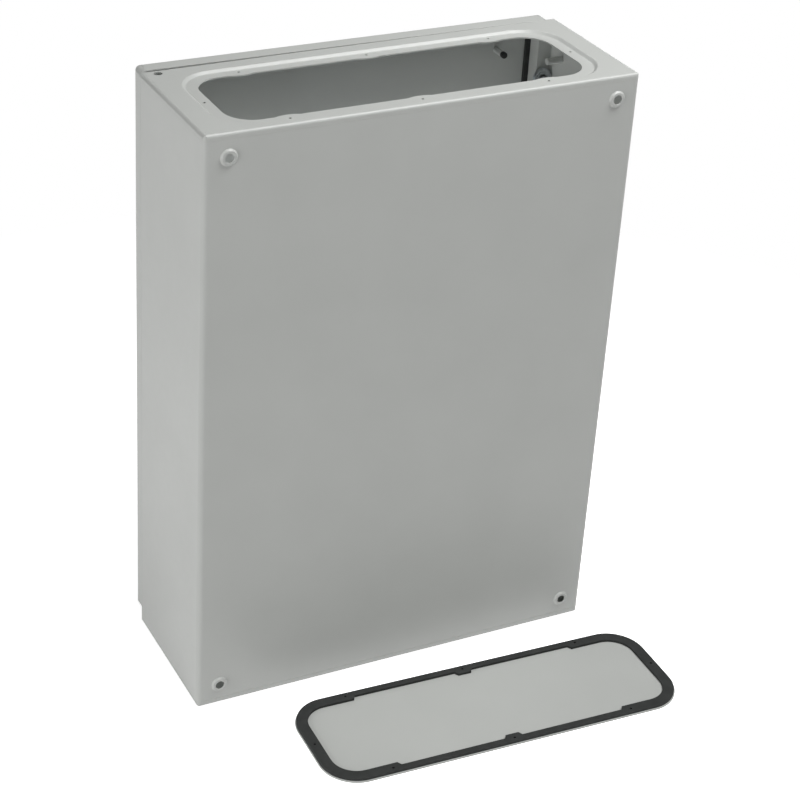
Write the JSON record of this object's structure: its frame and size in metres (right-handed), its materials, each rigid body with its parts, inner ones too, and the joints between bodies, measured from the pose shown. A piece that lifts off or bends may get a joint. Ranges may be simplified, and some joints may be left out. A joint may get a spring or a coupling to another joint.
{
  "type": "steel wall enclosure",
  "caption": "Folded sheet-steel wall enclosure with a hinged, gasketed door, quarter-turn locks, an inner mounting plate and a removable gland plate with its seal.",
  "frame": {"origin": "centre of the four wall-fixing holes, in the plane of their bosses' seats, where the enclosure meets its wall", "axes": "+Y towards the wall the enclosure hangs on, +Z along its height towards the gland opening, +X towards the door's lock side"},
  "size_m": [0.5319, 0.4071, 0.7],
  "materials": {
    "paint": "light grey fine-texture polyester powder coat",
    "zinc": "bright zinc-plated steel",
    "galvanised": "galvanised sheet steel",
    "foam": "matte closed-cell polyurethane foam",
    "cap_plastic": "matte black polyethylene",
    "die_cast": "nickel-plated zinc die casting"
  },
  "bodies": {
    "cabinet": {"body_shell": "paint", "gland_wall": "paint", "roof_wall": "paint", "front_rim": "paint", "plate_studs": "zinc", "mounting_plate": "galvanised", "plate_washers": "zinc", "plate_nuts": "zinc", "side_studs": "paint", "earth_stud": "zinc", "earth_washer": "zinc", "earth_nut": "zinc", "hinge_brackets": "zinc", "hinge_screws": "zinc", "hinge_washers": "zinc", "hinge_nuts": "zinc", "hinge_pins": "zinc"},
    "door": {"door_pan": "paint", "door_knuckles": "zinc", "door_gasket": "foam", "door_studs": "paint", "door_stud_caps": "cap_plastic", "lock_barrels": "die_cast", "lock_nuts": "zinc"},
    "upper_lock": {"upper_rotor": "die_cast", "upper_cam": "zinc", "upper_cam_screw": "zinc"},
    "lower_lock": {"lower_rotor": "die_cast", "lower_cam": "zinc", "lower_cam_screw": "zinc"},
    "loose_cover": {"gland_plate": "paint", "gland_gasket": "foam"}
  },
  "joints": [
    {"name": "door_hinge", "type": "hinge", "parent": "cabinet", "child": "door", "pos_m": [-0.242, -0.1923, 0], "axis": [0, 0, -1], "range_deg": [-0.6, 119.4]},
    {"name": "upper_lock_turn", "type": "hinge", "parent": "door", "child": "upper_lock", "pos_m": [0.20398, -0.19697, 0.2], "axis": [-0.0105, -0.9999, 0], "range_deg": [0, 90]},
    {"name": "lower_lock_turn", "type": "hinge", "parent": "door", "child": "lower_lock", "pos_m": [0.20398, -0.19697, -0.2], "axis": [-0.0105, -0.9999, 0], "range_deg": [0, 90]},
    {"name": "cover_lift", "type": "slide", "parent": "cabinet", "child": "loose_cover", "axis": [0, 0, 1], "range_m": [0, 0.75]}
  ]
}
